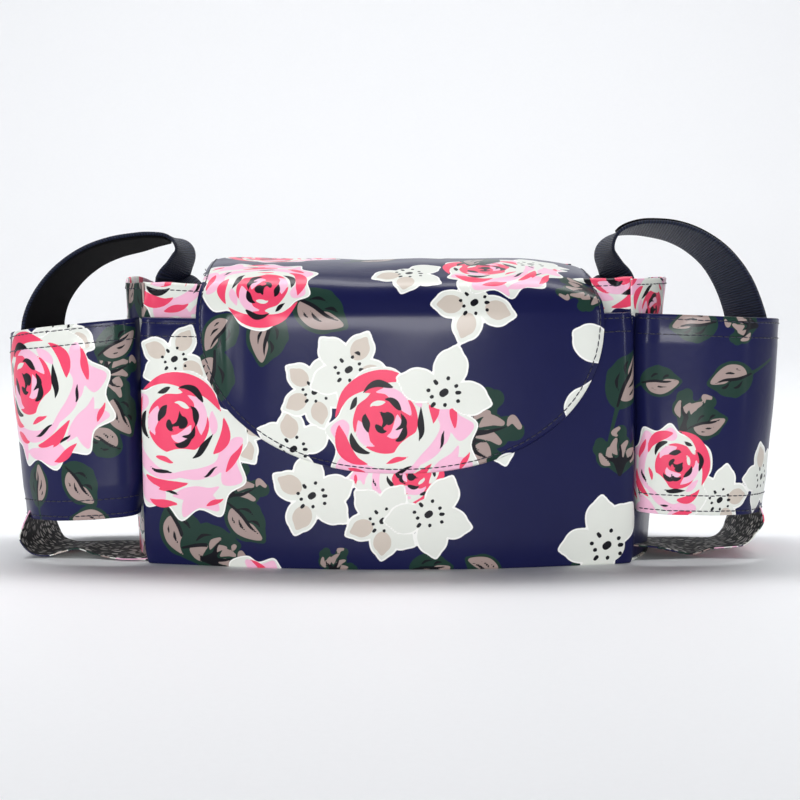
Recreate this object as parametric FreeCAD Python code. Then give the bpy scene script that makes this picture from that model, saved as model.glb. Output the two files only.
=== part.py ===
"""Stroller diaper bag: a padded centre pouch under a fold-over flap, an open bottle pocket on each side
with a sling under it, and a twisted hanging strap over each pocket.

Millimetres, +Z up. The front faces -Y and +X is to the right of someone facing it. The origin is the
centre of the base, on the surface that the bag stands on.
"""

import FreeCAD, Part

import math
import os

V = FreeCAD.Vector

# ---- cloth, foam and board -------------------------------------------------------------------------
LAMINATE = 1.0  # printed, coated cloth
LINING = 0.5
WALL_FOAM = 3.0
THIN_FOAM = 1.5  # in the flap and the front pocket
CLEAR = 0.3  # between pieces of different bodies
BASE_BOARD = 2.8

# ---- centre pouch, in plan -------------------------------------------------------------------------
SEAM_X, SEAM_Y = 109.0, -36.0  # front corner seam
POUCH_FRONT_Y = -48.0  # middle of the pouch's front wall, outside
SIDE_X, SIDE_Y = 119.0, 6.0  # where the side wall stands out furthest
BACK_X, BACK_Y = 112.0, 50.0  # back corner
POUCH_TOP_Z = 125.0
FOAM_TOP_Z = 123.0
LINING_TOP_Z = 124.0

# ---- front pocket ----------------------------------------------------------------------------------
POCKET_X, POCKET_Y = 110.0, -40.0
POCKET_FRONT_Y = -59.0
POCKET_TOP_Z = 106.0

# ---- flap ------------------------------------------------------------------------------------------
FLAP_HALF = 88.0
FLAP_TOP_Z = 127.5  # underside of the flap where it lies over the mouth
FLAP_SIDE_Z = 102.0  # the straight sides end and the rounded edge begins
FLAP_LOW_Z = 42.0
FLAP_GAP = 0.6  # between the flap and the front pocket
FLAP_SEAM_HALF, FLAP_SEAM_LOW_Z = 84.0, 108.0
MAGNET_R, MAGNET_T, MAGNET_Z = 9.0, 1.1, 58.0
MAGNET_POCKET_R = 9.4

# ---- bottle pockets --------------------------------------------------------------------------------
CUP_IN_X = 111.0
CUP_OUT_X = 175.0
CUP_FRONT_Y, CUP_BACK_Y = -42.0, 42.0
CUP_FRONT_R, CUP_BACK_R = 25.0, 18.0
CUP_LOW_Z, CUP_TOP_Z = 16.0, 104.0

# ---- slings under the bottle pockets ---------------------------------------------------------------
SLING_Y0, SLING_Y1 = -28.0, 22.0
SLING_LOW_Z = 0.5
SLING_R = 15.0

# ---- hanging straps --------------------------------------------------------------------------------
STRAP_HALF = 12.5
WEBBING = 1.6
TAPE = 1.2
STRAP_CUT = 0.3  # between two lengths of one strap, at a hinge
PATCH_X0, PATCH_X1 = 138.0, 164.0
PATCH_Z0, PATCH_Z1 = 44.0, 68.0

# A strap's route on the left: x, y, z of its middle, and its tilt in degrees. At 0 the webbing's width
# runs front to back; at 90 it lies flat, with its inner face to the front.
STRAP_ROOT = [
    (-99.5, 51.2, 84.0, -90.0),
    (-99.5, 51.2, 94.0, -90.0),
    (-99.5, 51.2, 102.0, -90.0),
    (-100.0, 52.6, 108.5, -88.0),
    (-103.0, 56.2, 115.0, -72.0),
    (-107.6, 60.6, 121.5, -48.0),
    (-104.6, 57.8, 128.0, -30.0),
    (-101.6, 53.0, 135.0, -17.0),
]
LEFT_ARCH = [
    (-101.6, 53.0, 135.0, -17.0),
    (-102.8, 49.5, 139.8, -7.0),
    (-107.8, 46.0, 142.8, 5.0),
    (-115.0, 43.8, 142.6, 12.0),
    (-122.4, 42.6, 141.2, 17.0),
    (-134.1, 42.0, 138.6, 20.0),
    (-145.4, 42.0, 133.8, 23.0),
    (-155.7, 42.0, 126.0, 27.0),
    (-163.4, 42.0, 116.3, 32.0),
]
RIGHT_ARCH = [
    (-101.6, 53.0, 135.0, -17.0),
    (-102.6, 49.5, 140.6, -7.0),
    (-107.2, 46.0, 145.3, 5.0),
    (-114.5, 43.8, 147.3, 12.0),
    (-122.4, 42.6, 147.3, 16.0),
    (-133.2, 42.0, 145.5, 20.0),
    (-143.8, 42.0, 140.8, 24.0),
    (-154.0, 42.0, 132.6, 29.0),
    (-162.2, 42.0, 120.6, 35.0),
]
STRAP_FALL = [
    (-167.6, 42.4, 106.5, 39.0),
    (-168.6, 42.8, 98.0, 46.0),
    (-166.6, 43.6, 88.0, 62.0),
    (-162.6, 45.0, 78.0, 84.0),
    (-160.2, 45.5, 72.0, 90.0),
]
STRAP_TAIL = [
    (-160.2, 45.5, 72.0, 90.0),
    (-155.6, 45.5, 60.0, 90.0),
    (-151.0, 45.5, 48.0, 90.0),
]
ROUTE_STEPS = 3  # sections between two points of a route
TAPE_START, TAPE_END = 6, -3  # sections of the free strap between which the tape is sewn


# ---- helpers ---------------------------------------------------------------------------------------
def arc(a, b, c):
    return Part.Arc(V(*a), V(*b), V(*c)).toShape()


def line(a, b):
    return Part.makeLine(V(*a), V(*b))


def prism(edges, height):
    return Part.Face(Part.Wire(edges)).extrude(V(0, 0, height))


def mirrored(shape):
    return shape.mirror(V(0, 0, 0), V(1, 0, 0))


def save(name, shape):
    os.makedirs("parts", exist_ok=True)
    assert shape.isValid() and shape.Volume > 0, name
    shape.exportStep(f"parts/{name}.step")


def save_pair(name, left):
    """The left piece, and its mirror image on the right."""
    save(f"left_{name}", left)
    save(f"right_{name}", mirrored(left))


# ---- centre pouch ----------------------------------------------------------------------------------
def pouch_plan(front_y, corner_x=SEAM_X, corner_y=SEAM_Y):
    """Closed outline of the pouch, anticlockwise from its front left corner."""
    fl, fr = (-corner_x, corner_y, 0), (corner_x, corner_y, 0)
    bl, br = (-BACK_X, BACK_Y, 0), (BACK_X, BACK_Y, 0)
    return Part.Wire([
        arc(fl, (0, front_y, 0), fr),
        arc(fr, (SIDE_X, SIDE_Y, 0), br),
        line(br, bl),
        arc(bl, (-SIDE_X, SIDE_Y, 0), fl),
    ])


def pouch_ring(outer, inner, z0, z1):
    """The pouch's wall between two depths from its outside, from z0 to z1."""
    plan = pouch_plan(POUCH_FRONT_Y)
    outside = plan.makeOffset2D(-outer) if outer else plan
    whole = Part.Face(outside).extrude(V(0, 0, z1 - z0))
    hollow = Part.Face(plan.makeOffset2D(-inner)).extrude(V(0, 0, z1 - z0))
    return whole.cut(hollow).translate(V(0, 0, z0))


def pouch_sector(side):
    """A wedge from the pouch's centre that holds one of its four walls."""
    far = 2.5
    front = (far * SEAM_X, far * SEAM_Y)
    back = (far * BACK_X, far * BACK_Y)
    reach = 300.0
    corners = {
        "front": [(-front[0], front[1]), (-front[0], -reach), (front[0], -reach), front],
        "right": [front, (reach, front[1]), (reach, back[1]), back],
        "back": [back, (back[0], reach), (-back[0], reach), (-back[0], back[1])],
        "left": [(-back[0], back[1]), (-reach, back[1]), (-reach, front[1]), (-front[0], front[1])],
    }[side]
    points = [V(0, 0, 0)] + [V(x, y, 0) for x, y in corners] + [V(0, 0, 0)]
    return Part.Face(Part.makePolygon(points)).extrude(V(0, 0, 200))


def wall(side, outer, inner, z0, z1):
    return pouch_ring(outer, inner, z0, z1).common(pouch_sector(side)).Solids[0]


def build_pouch():
    depth = LAMINATE + WALL_FOAM
    floor_z = LAMINATE + BASE_BOARD
    base = Part.Face(pouch_plan(POCKET_FRONT_Y, POCKET_X, POCKET_Y)).extrude(V(0, 0, LAMINATE))
    save("bottom_panel", base)
    for node, side in (("front_panel", "front"), ("back_panel", "back"), ("left_gusset", "left"),
                       ("right_gusset", "right")):
        save(node, wall(side, 0, LAMINATE, LAMINATE, POUCH_TOP_Z))
    for node, side in (("front_foam", "front"), ("back_foam", "back")):
        save(node, wall(side, LAMINATE, depth, LAMINATE, FOAM_TOP_Z))
    inside = pouch_plan(POUCH_FRONT_Y).makeOffset2D(-depth)
    save("base_board", Part.Face(inside).extrude(V(0, 0, BASE_BOARD)).translate(V(0, 0, LAMINATE)))
    tub = Part.Face(inside).extrude(V(0, 0, LINING_TOP_Z - floor_z))
    room = pouch_plan(POUCH_FRONT_Y).makeOffset2D(-depth - LINING)
    tub = tub.cut(Part.Face(room).extrude(V(0, 0, LINING_TOP_Z)).translate(V(0, 0, LINING)))
    save("lining_tub", tub.translate(V(0, 0, floor_z)))


# ---- front pocket and flap, which share one curve --------------------------------------------------
def front_curve():
    """Centre y and radius of the front pocket's outside, which is an arc in plan."""
    rise = POCKET_Y - POCKET_FRONT_Y
    radius = (POCKET_X ** 2 + rise ** 2) / (2 * rise)
    return POCKET_FRONT_Y + radius, radius


def curved_sheet(half, depth, thick, z0, z1):
    """A sheet bent to the front curve. Its outer face lies `depth` inside the pocket's outside."""
    centre_y, radius = front_curve()

    def point(r, x):
        return (x, centre_y - math.sqrt(r ** 2 - x ** 2), 0)

    out_r, in_r = radius - depth, radius - depth - thick
    outer = arc(point(out_r, -half), point(out_r, 0), point(out_r, half))
    inner = arc(point(in_r, half), point(in_r, 0), point(in_r, -half))
    ends = [line(point(out_r, half), point(in_r, half)), line(point(in_r, -half), point(out_r, -half))]
    return prism([outer, ends[0], inner, ends[1]], z1 - z0).translate(V(0, 0, z0))


def disc(radius, y, thick):
    """A disc on the front's middle, its front face at y."""
    return Part.makeCylinder(radius, thick, V(0, y, MAGNET_Z), V(0, 1, 0))


def build_pocket():
    low = LAMINATE
    save("front_pocket_panel", curved_sheet(POCKET_X, 0, LAMINATE, low, POCKET_TOP_Z))
    foam = curved_sheet(POCKET_X, LAMINATE, THIN_FOAM, low, POCKET_TOP_Z - 2)
    save("front_pocket_foam", foam.cut(disc(MAGNET_POCKET_R, POCKET_FRONT_Y, 10)))
    depth = LAMINATE + THIN_FOAM
    save("front_pocket_lining", curved_sheet(POCKET_X, depth, LINING, low, POCKET_TOP_Z - 1))
    spare = (THIN_FOAM - MAGNET_T) / 2
    save("pocket_magnet", disc(MAGNET_R, POCKET_FRONT_Y + LAMINATE + spare, MAGNET_T))


def flap_outline():
    """A prism along Y of the flap's hanging part: straight sides and a half-ellipse below them."""
    drop = FLAP_SIDE_Z - FLAP_LOW_Z
    curve = Part.Ellipse(V(0, 0, 0), FLAP_HALF, drop)
    half = Part.ArcOfEllipse(curve, math.pi, 2 * math.pi).toShape()
    top = FLAP_TOP_Z - CLEAR - FLAP_SIDE_Z
    corners = [(FLAP_HALF, 0, 0), (FLAP_HALF, top, 0), (-FLAP_HALF, top, 0), (-FLAP_HALF, 0, 0)]
    sides = [line(a, b) for a, b in zip(corners, corners[1:])]
    shape = prism([half] + sides, 100)
    shape.rotate(V(0, 0, 0), V(1, 0, 0), 90)
    return shape.translate(V(0, 0, FLAP_SIDE_Z))


def flap_cover(z0, z1):
    """The part of the flap that lies over the mouth, between two heights."""
    centre_y, radius = front_curve()
    edge_r = radius + FLAP_GAP
    side_y = centre_y - math.sqrt(edge_r ** 2 - FLAP_HALF ** 2)
    back_y = BACK_Y - CLEAR
    front = arc((-FLAP_HALF, side_y, 0), (0, centre_y - edge_r, 0), (FLAP_HALF, side_y, 0))
    corners = [(FLAP_HALF, side_y, 0), (FLAP_HALF, back_y, 0), (-FLAP_HALF, back_y, 0),
               (-FLAP_HALF, side_y, 0)]
    sides = [line(a, b) for a, b in zip(corners, corners[1:])]
    return prism([front] + sides, z1 - z0).translate(V(0, 0, z0))


def build_flap():
    outline = flap_outline()
    layers = (("lining", LINING), ("foam", THIN_FOAM), ("laminate", LAMINATE))
    depth, z = -FLAP_GAP, FLAP_TOP_Z
    for name, thick in layers:
        depth -= thick
        sheet = curved_sheet(FLAP_HALF, depth, thick, FLAP_LOW_Z - 1, FLAP_TOP_Z).common(outline)
        if name == "foam":
            sheet = sheet.cut(disc(MAGNET_POCKET_R, POCKET_FRONT_Y - 10, 10))
            spare = (THIN_FOAM - MAGNET_T) / 2
            save("flap_magnet", disc(MAGNET_R, POCKET_FRONT_Y + depth + spare, MAGNET_T))
        save(f"flap_front_{name}", sheet.Solids[0])
        save(f"flap_top_{name}", flap_cover(z, z + thick))
        z += thick
    seam = Part.makeBox(2 * FLAP_SEAM_HALF, LAMINATE, FLAP_TOP_Z - 1 - FLAP_SEAM_LOW_Z)
    save("flap_seam_strip", seam.translate(V(-FLAP_SEAM_HALF, BACK_Y, FLAP_SEAM_LOW_Z)))


# ---- bottle pockets and their slings ---------------------------------------------------------------
def cup_edge(depth):
    """The bottle pocket's wall in plan, `depth` inside its outside, from the front seam round to the
    back one."""
    out, front, back = -CUP_OUT_X + depth, CUP_FRONT_Y + depth, CUP_BACK_Y - depth
    fr, br = CUP_FRONT_R - depth, CUP_BACK_R - depth
    diagonal = 1 - math.sqrt(0.5)
    a, b = (-CUP_IN_X, front, 0), (out + fr, front, 0)
    c = (out + fr * diagonal, front + fr * diagonal, 0)
    d, e = (out, front + fr, 0), (out, back - br, 0)
    f = (out + br * diagonal, back - br * diagonal, 0)
    g, h = (out + br, back, 0), (-CUP_IN_X, back, 0)
    return [line(a, b), arc(b, c, d), line(d, e), arc(e, f, g), line(g, h)], a, h


def cup_wall(depth, thick, z0, z1):
    outer, a0, h0 = cup_edge(depth)
    inner, a1, h1 = cup_edge(depth + thick)
    edges = outer + [line(h0, h1)] + inner[::-1] + [line(a1, a0)]
    ring = Part.Face(Part.Wire(Part.__sortEdges__(edges))).extrude(V(0, 0, z1 - z0))
    pouch = Part.Face(pouch_plan(POUCH_FRONT_Y)).extrude(V(0, 0, 200))
    return ring.translate(V(0, 0, z0)).cut(pouch).Solids[0]


def sling_layer(depth, thick):
    """One layer of the strip that runs from the pocket's outer hem down, and along the surface to the
    pouch. `depth` is from its underside."""
    def edge(inset):
        x, z, r = -CUP_OUT_X + inset, SLING_LOW_Z + inset, SLING_R - inset
        diagonal = r * (1 - math.sqrt(0.5))
        top, bend = (x, 0, CUP_LOW_Z), (x, 0, z + r)
        low, end = (x + r, 0, z), (-CUP_IN_X, 0, z)
        return [line(top, bend), arc(bend, (x + diagonal, 0, z + diagonal), low), line(low, end)], top, end

    outer, top0, end0 = edge(depth)
    inner, top1, end1 = edge(depth + thick)
    edges = outer + [line(end0, end1)] + inner[::-1] + [line(top1, top0)]
    face = Part.Face(Part.Wire(Part.__sortEdges__(edges)))
    strip = face.extrude(V(0, SLING_Y1 - SLING_Y0, 0)).translate(V(0, SLING_Y0, 0))
    for plan in (pouch_plan(POUCH_FRONT_Y), pouch_plan(POCKET_FRONT_Y, POCKET_X, POCKET_Y)):
        strip = strip.cut(Part.Face(plan).extrude(V(0, 0, 200)))
    return strip.Solids[0]


def build_bottle_pockets():
    save_pair("cup_panel", cup_wall(0, LAMINATE, CUP_LOW_Z, CUP_TOP_Z))
    save_pair("cup_lining", cup_wall(LAMINATE, LINING, CUP_LOW_Z + 1, CUP_TOP_Z - 1))
    save_pair("sling", sling_layer(0, LAMINATE))
    save_pair("sling_lining", sling_layer(LAMINATE, LINING))
    patch = Part.makeBox(PATCH_X1 - PATCH_X0, TAPE, PATCH_Z1 - PATCH_Z0)
    save_pair("cup_patch", patch.translate(V(-PATCH_X1, CUP_BACK_Y, PATCH_Z0)))


# ---- straps ----------------------------------------------------------------------------------------
def smoothed(route):
    """The route with more points in between, on a curve through the given ones."""
    ends = [route[0]] + route + [route[-1]]
    fine = []
    for p0, p1, p2, p3 in zip(ends, ends[1:], ends[2:], ends[3:]):
        for step in range(ROUTE_STEPS):
            t = step / ROUTE_STEPS
            weights = (-t + 2 * t ** 2 - t ** 3, 2 - 5 * t ** 2 + 3 * t ** 3,
                       t + 4 * t ** 2 - 3 * t ** 3, t ** 3 - t ** 2)
            fine.append(tuple(sum(w * v for w, v in zip(weights, values)) / 2
                              for values in zip(p0, p1, p2, p3)))
    return fine + [route[-1]]


def strap_frames(route):
    """For each point of the route: its middle, the way to its front edge, and its outer normal."""
    middles = [V(*p[:3]) for p in route]
    frames = []
    for i, (x, y, z, tilt) in enumerate(route):
        along = middles[min(i + 1, len(route) - 1)] - middles[max(i - 1, 0)]
        along.y = 0
        along.normalize()
        outward = V(along.z, 0, -along.x)
        turn = math.radians(tilt)
        across = outward * math.sin(turn) + V(0, -math.cos(turn), 0)
        normal = outward * math.cos(turn) + V(0, math.sin(turn), 0)
        frames.append((V(x, y, z), across, normal))
    return frames


def band(frames, low, high):
    """A strip through the frames, between two distances along their outer normals."""
    sections = []
    for middle, across, normal in frames:
        ends = [(1, low), (1, high), (-1, high), (-1, low)]
        corners = [middle + across * (s * STRAP_HALF) + normal * n for s, n in ends]
        sections.append(Part.makePolygon(corners + corners[:1]))
    return Part.makeLoft(sections, True, True)


def shifted(frame, gap):
    """A frame moved along the strap."""
    middle, across, normal = frame
    return middle + across.cross(normal) * gap, across, normal


def build_strap(side, arch, tape_inside):
    place = mirrored if side == "right" else (lambda shape: shape)
    half = WEBBING / 2
    inner = (-half - TAPE, -half)
    outer = (half, half + TAPE)
    root_route = smoothed(STRAP_ROOT)
    arch_route = smoothed(arch + STRAP_FALL)
    tail_route = smoothed(STRAP_TAIL)
    count = len(root_route)
    frames = strap_frames(root_route + arch_route[1:] + tail_route[1:])
    last = count + len(arch_route) - 2
    root = frames[:count]
    free = frames[count - 1:last + 1]
    tail = frames[last:]
    free[0] = shifted(free[0], STRAP_CUT)
    tail[0] = shifted(tail[0], STRAP_CUT)
    save(f"{side}_strap_root", place(band(root, -half, half)))
    save(f"{side}_strap_arch", place(band(free, -half, half)))
    sewn = free[TAPE_START:TAPE_END]
    save(f"{side}_strap_tape", place(band(sewn, *(inner if tape_inside else outer))))
    save(f"{side}_strap_tail", place(band(tail, -half, half)))
    save(f"{side}_strap_hook", place(band(tail[1:], *inner)))


build_pouch()
build_pocket()
build_flap()
build_bottle_pockets()
build_strap("left", LEFT_ARCH, tape_inside=True)
build_strap("right", RIGHT_ARCH, tape_inside=False)
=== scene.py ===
"""The stroller diaper bag's looks: a glossy floral pouch, its flap, bottle pockets, slings and straps.

Lengths inside the script are in millimetres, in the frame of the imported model: +X to the right of
someone facing the bag, -Y towards them, +Z up. They become metres when a mesh is made.
"""

import math

import bpy
import numpy as np
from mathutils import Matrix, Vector


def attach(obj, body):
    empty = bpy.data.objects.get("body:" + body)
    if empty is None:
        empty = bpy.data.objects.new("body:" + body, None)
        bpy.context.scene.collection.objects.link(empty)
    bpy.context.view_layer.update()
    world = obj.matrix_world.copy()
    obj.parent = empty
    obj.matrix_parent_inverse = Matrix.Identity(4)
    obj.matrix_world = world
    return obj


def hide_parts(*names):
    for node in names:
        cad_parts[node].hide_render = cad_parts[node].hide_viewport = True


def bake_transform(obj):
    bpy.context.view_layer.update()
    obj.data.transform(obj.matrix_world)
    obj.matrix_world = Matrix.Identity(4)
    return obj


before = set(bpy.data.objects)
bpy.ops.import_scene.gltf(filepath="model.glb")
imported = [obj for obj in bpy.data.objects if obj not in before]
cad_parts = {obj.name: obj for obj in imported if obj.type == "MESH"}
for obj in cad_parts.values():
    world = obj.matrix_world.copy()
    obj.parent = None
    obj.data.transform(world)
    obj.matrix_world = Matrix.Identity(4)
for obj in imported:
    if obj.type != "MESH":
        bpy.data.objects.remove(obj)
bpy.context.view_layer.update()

MM = 0.001
rng = np.random.default_rng(7)

# ---- the floral print -----------------------------------------------------------------------------
# Inks in the order in which they are laid, each over the ones before it, with their colours.
INKS = {
    "green": (0.015, 0.042, 0.032),
    "mauve": (0.36, 0.275, 0.255),
    "white": (0.90, 0.90, 0.87),
    "cream": (0.745, 0.765, 0.715),
    "taupe": (0.60, 0.53, 0.465),
    "pink": (0.87, 0.49, 0.655),
    "coral": (0.83, 0.065, 0.145),
    "black": (0.009, 0.009, 0.013),
}
NAVY = (0.0095, 0.0112, 0.060)
OUTSIDE = -6.0  # the depth, in millimetres, of a place that an ink is nowhere near
WHITE_EDGE = 0.75  # how far a petal's cream lies inside its white, in millimetres


def smooth_line(points, closed, per_span):
    """Points on a curve through the given ones."""
    p = np.array(points, float)
    n = len(p)
    spans = n if closed else n - 1
    out = []
    for i in range(spans):
        if closed:
            a, b, c, d = p[i - 1], p[i], p[(i + 1) % n], p[(i + 2) % n]
        else:
            a, b, c, d = p[max(i - 1, 0)], p[i], p[i + 1], p[min(i + 2, n - 1)]
        t = np.linspace(0, 1, per_span, endpoint=False)[:, None]
        out.append(0.5 * (2 * b + (c - a) * t + (2 * a - 5 * b + 4 * c - d) * t ** 2
                          + (3 * b - a - 3 * c + d) * t ** 3))
    if not closed:
        out.append(p[-1:])
    return np.vstack(out)


def stroke_depth(at, points, widths):
    """How far inside a brush stroke each place lies. The stroke's half width changes along it."""
    line = smooth_line([(*p, w) for p, w in zip(points, widths)], False, 5)
    line[-6:, 2] = np.linspace(widths[-2], widths[-1], 6)  # straight sides make a sharp tip
    line[:, 2] = np.maximum(line[:, 2], 0)
    depth = np.full(len(at), -1e3)
    for a, b in zip(line, line[1:]):
        along = b[:2] - a[:2]
        t = np.clip(((at - a[:2]) @ along) / max(along @ along, 1e-9), 0, 1)
        away = np.hypot(*(at - a[:2] - t[:, None] * along).T)
        depth = np.maximum(depth, a[2] + (b[2] - a[2]) * t - away)
    return depth


def patch_depth(at, points):
    """How far inside a closed, rounded outline each place lies."""
    line = smooth_line(points, True, 5)
    near, inside = np.full(len(at), 1e3), np.zeros(len(at), bool)
    for a, b in zip(line, np.roll(line, -1, 0)):
        along = b - a
        t = np.clip(((at - a) @ along) / max(along @ along, 1e-9), 0, 1)
        near = np.minimum(near, np.hypot(*(at - a - t[:, None] * along).T))
        if a[1] != b[1]:
            crosses = (a[1] > at[:, 1]) != (b[1] > at[:, 1])
            inside ^= crosses & (at[:, 0] < a[0] + along[0] * (at[:, 1] - a[1]) / along[1])
    return np.where(inside, near, -near)


def ray(angle, reach, aside=0.0):
    """A point in a motif, `reach` from its middle at that angle in degrees, and `aside` to the left."""
    a = math.radians(angle)
    return math.cos(a) * reach - math.sin(a) * aside, math.sin(a) * reach + math.cos(a) * aside


def blossom(angles, shaded=(), dashed=()):
    """A flat blossom with a pointed petal at each angle, in units of its radius. The shaded petals are
    taupe inside, and the dashed ones have a dark line across."""
    reach, widths = (0.0, 0.30, 0.56, 1.0), (0.16, 0.25, 0.345, 0.0)
    petals = [[ray(a, r, 0.035 * math.sin(9 * r + a)) for r in reach] for a in angles]
    heart = [(-0.05, 0), (0.05, 0)]
    shapes = [("white", p, widths, 0.0) for p in petals] + [("white", heart, (0.33, 0.33), 0.0)]
    shapes += [("cream", p, widths, WHITE_EDGE) for p in petals] + [("cream", heart, (0.36, 0.36), WHITE_EDGE)]
    for a in shaded:
        inner = [ray(a, r) for r in (0.38, 0.56, 0.86)]
        shapes.append(("taupe", inner, (0.12, 0.215, 0.0), 0.0))
    shapes.append(("black", [ray(35, -0.03), ray(35, 0.03)], (0.072, 0.072), 0.0))
    for i in range(9):
        a, r = 40 * i + 12 * math.sin(5 * i), 0.29 + 0.045 * math.sin(3.3 * i)
        long = 0.006 if i % 3 else 0.026
        shapes.append(("black", [ray(a, r - long), ray(a, r + long)], (0.042, 0.036), 0.0))
    for a in dashed:
        line = [ray(a - 12, 0.40), ray(a, 0.44), ray(a + 12, 0.40)]
        shapes.append(("black", line, (0.0, 0.045, 0.0), 0.0))
    return shapes


def petal():
    """One pointed petal along +x, in units of its length."""
    line, widths = [(0.0, 0.0), (0.34, 0.02), (0.6, 0.0), (1.0, 0.02)], (0.16, 0.30, 0.36, 0.0)
    return [("white", line, widths, 0.0), ("cream", line, widths, WHITE_EDGE)]


def leaf(stem=0.0):
    """A leaf along +x, in units of its length. Its lower half is mauve."""
    shapes = []
    if stem:
        shapes.append(("green", [(-stem, -0.12), (-0.3 * stem, -0.03), (0.05, 0)], (0.028, 0.035, 0.05), 0))
    shapes += [
        ("green", [(0, 0), (0.22, 0.03), (0.5, 0.0), (1.0, -0.02)], (0.06, 0.29, 0.36, 0), 0),
        ("green", [(0.2, 0.24), (0.42, 0.28), (0.62, 0.19)], (0.05, 0.13, 0.07), 0),
        ("mauve", [(0.08, -0.02), (0.26, 0.05), (0.44, 0.0), (0.62, 0.06), (0.92, -0.01), (0.74, -0.19),
                   (0.46, -0.30), (0.18, -0.22)], None, 0),
        ("black", [(-0.04, 0.0), (0.3, 0.03), (0.6, -0.01), (0.86, 0.02)], (0.02, 0.033, 0.028, 0), 0),
        ("black", [(0.3, -0.05), (0.45, -0.13), (0.62, -0.13)], (0.0, 0.026, 0), 0),
        ("black", [(0.18, 0.07), (0.33, 0.19), (0.52, 0.19)], (0.0, 0.03, 0), 0),
        ("black", [(0.48, 0.05), (0.62, 0.14), (0.76, 0.11)], (0.0, 0.032, 0), 0),
        ("black", [(0.2, -0.12), (0.28, -0.17), (0.4, -0.19)], (0.0, 0.02, 0), 0),
    ]
    return shapes


def spray():
    """A short twig of three lobed leaves along +x, dark at its heart, in units of its length."""
    shapes = []
    for a, reach in ((40, 0.86), (2, 1.0), (-38, 0.84)):
        lobes = ((0.3, 0.10, 0), (0.52, 0.17, 0.09), (0.6, 0.16, -0.1), (0.78, 0.14, 0.05), (0.86, 0.13, -0.05))
        shapes.append(("green", [(0, 0), ray(a, 0.5 * reach), ray(a, reach)], (0.05, 0.15, 0.05), 0))
        for r, w, side in lobes:
            spot = ray(a, r * reach, side)
            shapes.append(("green", [spot, ray(a, r * reach + 0.06, side)], (w, w), 0))
    for a, near, far, w in ((52, 0.30, 0.62, 0.075), (30, 0.34, 0.6, 0.07), (12, 0.42, 0.74, 0.085),
                            (-10, 0.36, 0.7, 0.08), (-30, 0.40, 0.62, 0.07), (-48, 0.36, 0.72, 0.085),
                            (6, 0.82, 0.98, 0.06)):
        line = [ray(a, near), ray(a + 5, 0.5 * (near + far)), ray(a - 3, far)]
        shapes.append(("mauve", line, (0.02, w, 0.04), 0))
    for a, reach in ((42, 0.72), (20, 0.5), (0, 0.86), (-20, 0.56), (-40, 0.74)):
        line = [(-0.02, 0), ray(0.6 * a, 0.28), ray(a, 0.6 * reach), ray(a + 5, reach)]
        shapes.append(("black", line, (0.05, 0.05, 0.03, 0), 0))
    return shapes


def fold(ink, x, y, radius, start, end, width, wave=0.04):
    """A curved petal edge round (x, y), swelling in its middle and pointed at its ends."""
    points = []
    for i in range(5):
        a, sway = math.radians(start + (end - start) * i / 4), min(radius * abs(end - start) / 60, 1)
        r = radius + wave * sway * math.sin(1.4 * i + 5 * radius + start)
        points.append((x + math.cos(a) * r, y + math.sin(a) * r))
    return ink, points, (0.0, 0.75 * width, width, 0.6 * width, 0.0), 0.0


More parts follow.
